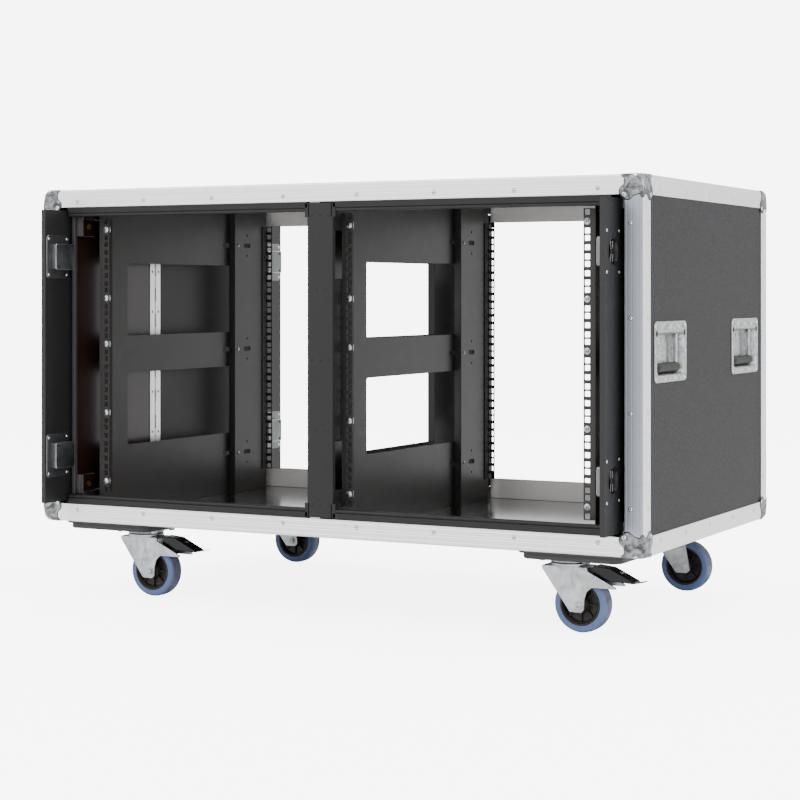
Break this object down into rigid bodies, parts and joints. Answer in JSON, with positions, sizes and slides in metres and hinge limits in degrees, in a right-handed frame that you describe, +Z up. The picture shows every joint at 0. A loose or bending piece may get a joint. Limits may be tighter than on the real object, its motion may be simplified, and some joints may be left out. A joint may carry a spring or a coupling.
{
  "type": "equipment rack case",
  "caption": "Wheeled road case with two open rack bays side by side, doors that slide into side pockets, metal edges, ball corners and recessed side handles.",
  "frame": {"origin": "on the floor under the middle of the overall box, doors as parked", "axes": "+X to the right seen from the front, the front faces -Y, +Z up"},
  "size_m": [1.2452, 0.851, 0.7916],
  "materials": {
    "laminated_ply": "black textured laminate on plywood",
    "black_ply": "black painted plywood",
    "phenolic_ply": "dark brown phenolic film on plywood",
    "edge_aluminium": "extruded with fine long grooves, satin",
    "black_aluminium": "black powder coat on extrusion",
    "black_steel": "fine black powder coat",
    "zinc_steel": "bright zinc plate",
    "black_rubber": "moulded grip on a steel bail",
    "blue_rubber": "elastic rubber, matt",
    "black_nylon": "moulded"
  },
  "bodies": {
    "case": {"top_panel": "laminated_ply", "bottom_panel": "laminated_ply", "left_side_panel": "laminated_ply", "right_side_panel": "laminated_ply", "long_edge_profiles": "edge_aluminium", "depth_edge_profiles": "edge_aluminium", "upright_edge_profiles": "edge_aluminium", "ball_corners": "zinc_steel", "edge_rivets": "zinc_steel", "front_door_frame": "black_aluminium", "rear_door_frame": "black_aluminium", "centre_posts": "black_steel", "frame_screws": "zinc_steel", "front_rack_rails": "black_steel", "rear_rack_rails": "black_steel", "front_side_plates": "black_steel", "rear_side_plates": "black_steel", "pocket_slides": "zinc_steel", "handle_trays": "zinc_steel", "wheel_boards": "black_ply", "castor_plates": "zinc_steel", "castor_bolts": "zinc_steel"},
    "front_left_door": {"front_left_door_panel": "laminated_ply", "front_left_door_hardware": "zinc_steel", "front_left_door_carriage": "phenolic_ply"},
    "front_left_upper_latch": {"front_left_upper_latch_wing": "zinc_steel"},
    "front_left_lower_latch": {"front_left_lower_latch_wing": "zinc_steel"},
    "front_right_door": {"front_right_door_panel": "laminated_ply", "front_right_door_hardware": "zinc_steel", "front_right_door_carriage": "phenolic_ply"},
    "front_right_upper_latch": {"front_right_upper_latch_wing": "zinc_steel"},
    "front_right_lower_latch": {"front_right_lower_latch_wing": "zinc_steel"},
    "rear_left_door": {"rear_left_door_panel": "laminated_ply", "rear_left_door_hardware": "zinc_steel", "rear_left_door_carriage": "phenolic_ply"},
    "rear_left_upper_latch": {"rear_left_upper_latch_wing": "zinc_steel"},
    "rear_left_lower_latch": {"rear_left_lower_latch_wing": "zinc_steel"},
    "rear_right_door": {"rear_right_door_panel": "laminated_ply", "rear_right_door_hardware": "zinc_steel", "rear_right_door_carriage": "phenolic_ply"},
    "rear_right_upper_latch": {"rear_right_upper_latch_wing": "zinc_steel"},
    "rear_right_lower_latch": {"rear_right_lower_latch_wing": "zinc_steel"},
    "front_left_handle": {"front_left_handle_bail": "black_rubber"},
    "front_right_handle": {"front_right_handle_bail": "black_rubber"},
    "rear_left_handle": {"rear_left_handle_bail": "black_rubber"},
    "rear_right_handle": {"rear_right_handle_bail": "black_rubber"},
    "front_left_castor": {"front_left_castor_fork": "zinc_steel"},
    "front_left_wheel": {"front_left_tyre": "blue_rubber", "front_left_hub": "black_nylon"},
    "front_left_brake": {"front_left_brake_pedal": "black_steel"},
    "front_right_castor": {"front_right_castor_fork": "zinc_steel"},
    "front_right_wheel": {"front_right_tyre": "blue_rubber", "front_right_hub": "black_nylon"},
    "front_right_brake": {"front_right_brake_pedal": "black_steel"},
    "rear_left_castor": {"rear_left_castor_fork": "zinc_steel"},
    "rear_left_wheel": {"rear_left_tyre": "blue_rubber", "rear_left_hub": "black_nylon"},
    "rear_right_castor": {"rear_right_castor_fork": "zinc_steel"},
    "rear_right_wheel": {"rear_right_tyre": "blue_rubber", "rear_right_hub": "black_nylon"}
  },
  "joints": [
    {"name": "front_left_door_slide", "type": "slide", "parent": "case", "child": "front_left_door", "axis": [0, -1, 0], "range_m": [0, 0.443]},
    {"name": "front_left_upper_latch_turn", "type": "hinge", "parent": "front_left_door", "child": "front_left_upper_latch", "pos_m": [-0.577, -0.3875, 0.66], "axis": [-1, 0, 0], "range_deg": [0, 180]},
    {"name": "front_left_lower_latch_turn", "type": "hinge", "parent": "front_left_door", "child": "front_left_lower_latch", "pos_m": [-0.577, -0.3875, 0.278], "axis": [-1, 0, 0], "range_deg": [0, 180]},
    {"name": "front_right_door_slide", "type": "slide", "parent": "case", "child": "front_right_door", "axis": [0, -1, 0], "range_m": [0, 0.443]},
    {"name": "front_right_upper_latch_turn", "type": "hinge", "parent": "front_right_door", "child": "front_right_upper_latch", "pos_m": [0.577, -0.3875, 0.66], "axis": [1, 0, 0], "range_deg": [0, 180]},
    {"name": "front_right_lower_latch_turn", "type": "hinge", "parent": "front_right_door", "child": "front_right_lower_latch", "pos_m": [0.577, -0.3875, 0.278], "axis": [1, 0, 0], "range_deg": [0, 180]},
    {"name": "rear_left_door_slide", "type": "slide", "parent": "case", "child": "rear_left_door", "axis": [0, 1, 0], "range_m": [0, 0.406]},
    {"name": "rear_left_upper_latch_turn", "type": "hinge", "parent": "rear_left_door", "child": "rear_left_upper_latch", "pos_m": [-0.564, 0.3875, 0.66], "axis": [-1, 0, 0], "range_deg": [0, 180]},
    {"name": "rear_left_lower_latch_turn", "type": "hinge", "parent": "rear_left_door", "child": "rear_left_lower_latch", "pos_m": [-0.564, 0.3875, 0.278], "axis": [-1, 0, 0], "range_deg": [0, 180]},
    {"name": "rear_right_door_slide", "type": "slide", "parent": "case", "child": "rear_right_door", "axis": [0, 1, 0], "range_m": [0, 0.406]},
    {"name": "rear_right_upper_latch_turn", "type": "hinge", "parent": "rear_right_door", "child": "rear_right_upper_latch", "pos_m": [0.564, 0.3875, 0.66], "axis": [1, 0, 0], "range_deg": [0, 180]},
    {"name": "rear_right_lower_latch_turn", "type": "hinge", "parent": "rear_right_door", "child": "rear_right_lower_latch", "pos_m": [0.564, 0.3875, 0.278], "axis": [1, 0, 0], "range_deg": [0, 180]},
    {"name": "front_left_handle_lift", "type": "hinge", "parent": "case", "child": "front_left_handle", "pos_m": [-0.61, -0.2265, 0.52], "axis": [0, 1, 0], "range_deg": [0, 90], "stiffness_Nm_per_rad": 0.3},
    {"name": "front_right_handle_lift", "type": "hinge", "parent": "case", "child": "front_right_handle", "pos_m": [0.61, -0.2265, 0.52], "axis": [0, -1, 0], "range_deg": [0, 90], "stiffness_Nm_per_rad": 0.3},
    {"name": "rear_left_handle_lift", "type": "hinge", "parent": "case", "child": "rear_left_handle", "pos_m": [-0.61, 0.1895, 0.52], "axis": [0, 1, 0], "range_deg": [0, 90], "stiffness_Nm_per_rad": 0.3},
    {"name": "rear_right_handle_lift", "type": "hinge", "parent": "case", "child": "rear_right_handle", "pos_m": [0.61, 0.1895, 0.52], "axis": [0, -1, 0], "range_deg": [0, 90], "stiffness_Nm_per_rad": 0.3},
    {"name": "front_left_castor_swivel", "type": "hinge", "parent": "case", "child": "front_left_castor", "pos_m": [-0.448, -0.2625, 0.13], "axis": [0, 0, 1], "continuous": true},
    {"name": "front_left_wheel_spin", "type": "hinge", "parent": "front_left_castor", "child": "front_left_wheel", "pos_m": [-0.423, -0.2625, 0.05], "axis": [0, 1, 0], "continuous": true},
    {"name": "front_left_brake_press", "type": "hinge", "parent": "front_left_castor", "child": "front_left_brake", "pos_m": [-0.393, -0.2625, 0.1], "axis": [0, 1, 0], "range_deg": [0, 15]},
    {"name": "front_right_castor_swivel", "type": "hinge", "parent": "case", "child": "front_right_castor", "pos_m": [0.448, -0.2625, 0.13], "axis": [0, 0, 1], "continuous": true},
    {"name": "front_right_wheel_spin", "type": "hinge", "parent": "front_right_castor", "child": "front_right_wheel", "pos_m": [0.473, -0.2625, 0.05], "axis": [0, 1, 0], "continuous": true},
    {"name": "front_right_brake_press", "type": "hinge", "parent": "front_right_castor", "child": "front_right_brake", "pos_m": [0.503, -0.2625, 0.1], "axis": [0, 1, 0], "range_deg": [0, 15]},
    {"name": "rear_left_castor_swivel", "type": "hinge", "parent": "case", "child": "rear_left_castor", "pos_m": [-0.448, 0.2775, 0.13], "axis": [0, 0, 1], "continuous": true},
    {"name": "rear_left_wheel_spin", "type": "hinge", "parent": "rear_left_castor", "child": "rear_left_wheel", "pos_m": [-0.423, 0.2775, 0.05], "axis": [0, 1, 0], "continuous": true},
    {"name": "rear_right_castor_swivel", "type": "hinge", "parent": "case", "child": "rear_right_castor", "pos_m": [0.448, 0.2775, 0.13], "axis": [0, 0, 1], "continuous": true},
    {"name": "rear_right_wheel_spin", "type": "hinge", "parent": "rear_right_castor", "child": "rear_right_wheel", "pos_m": [0.473, 0.2775, 0.05], "axis": [0, 1, 0], "continuous": true}
  ]
}
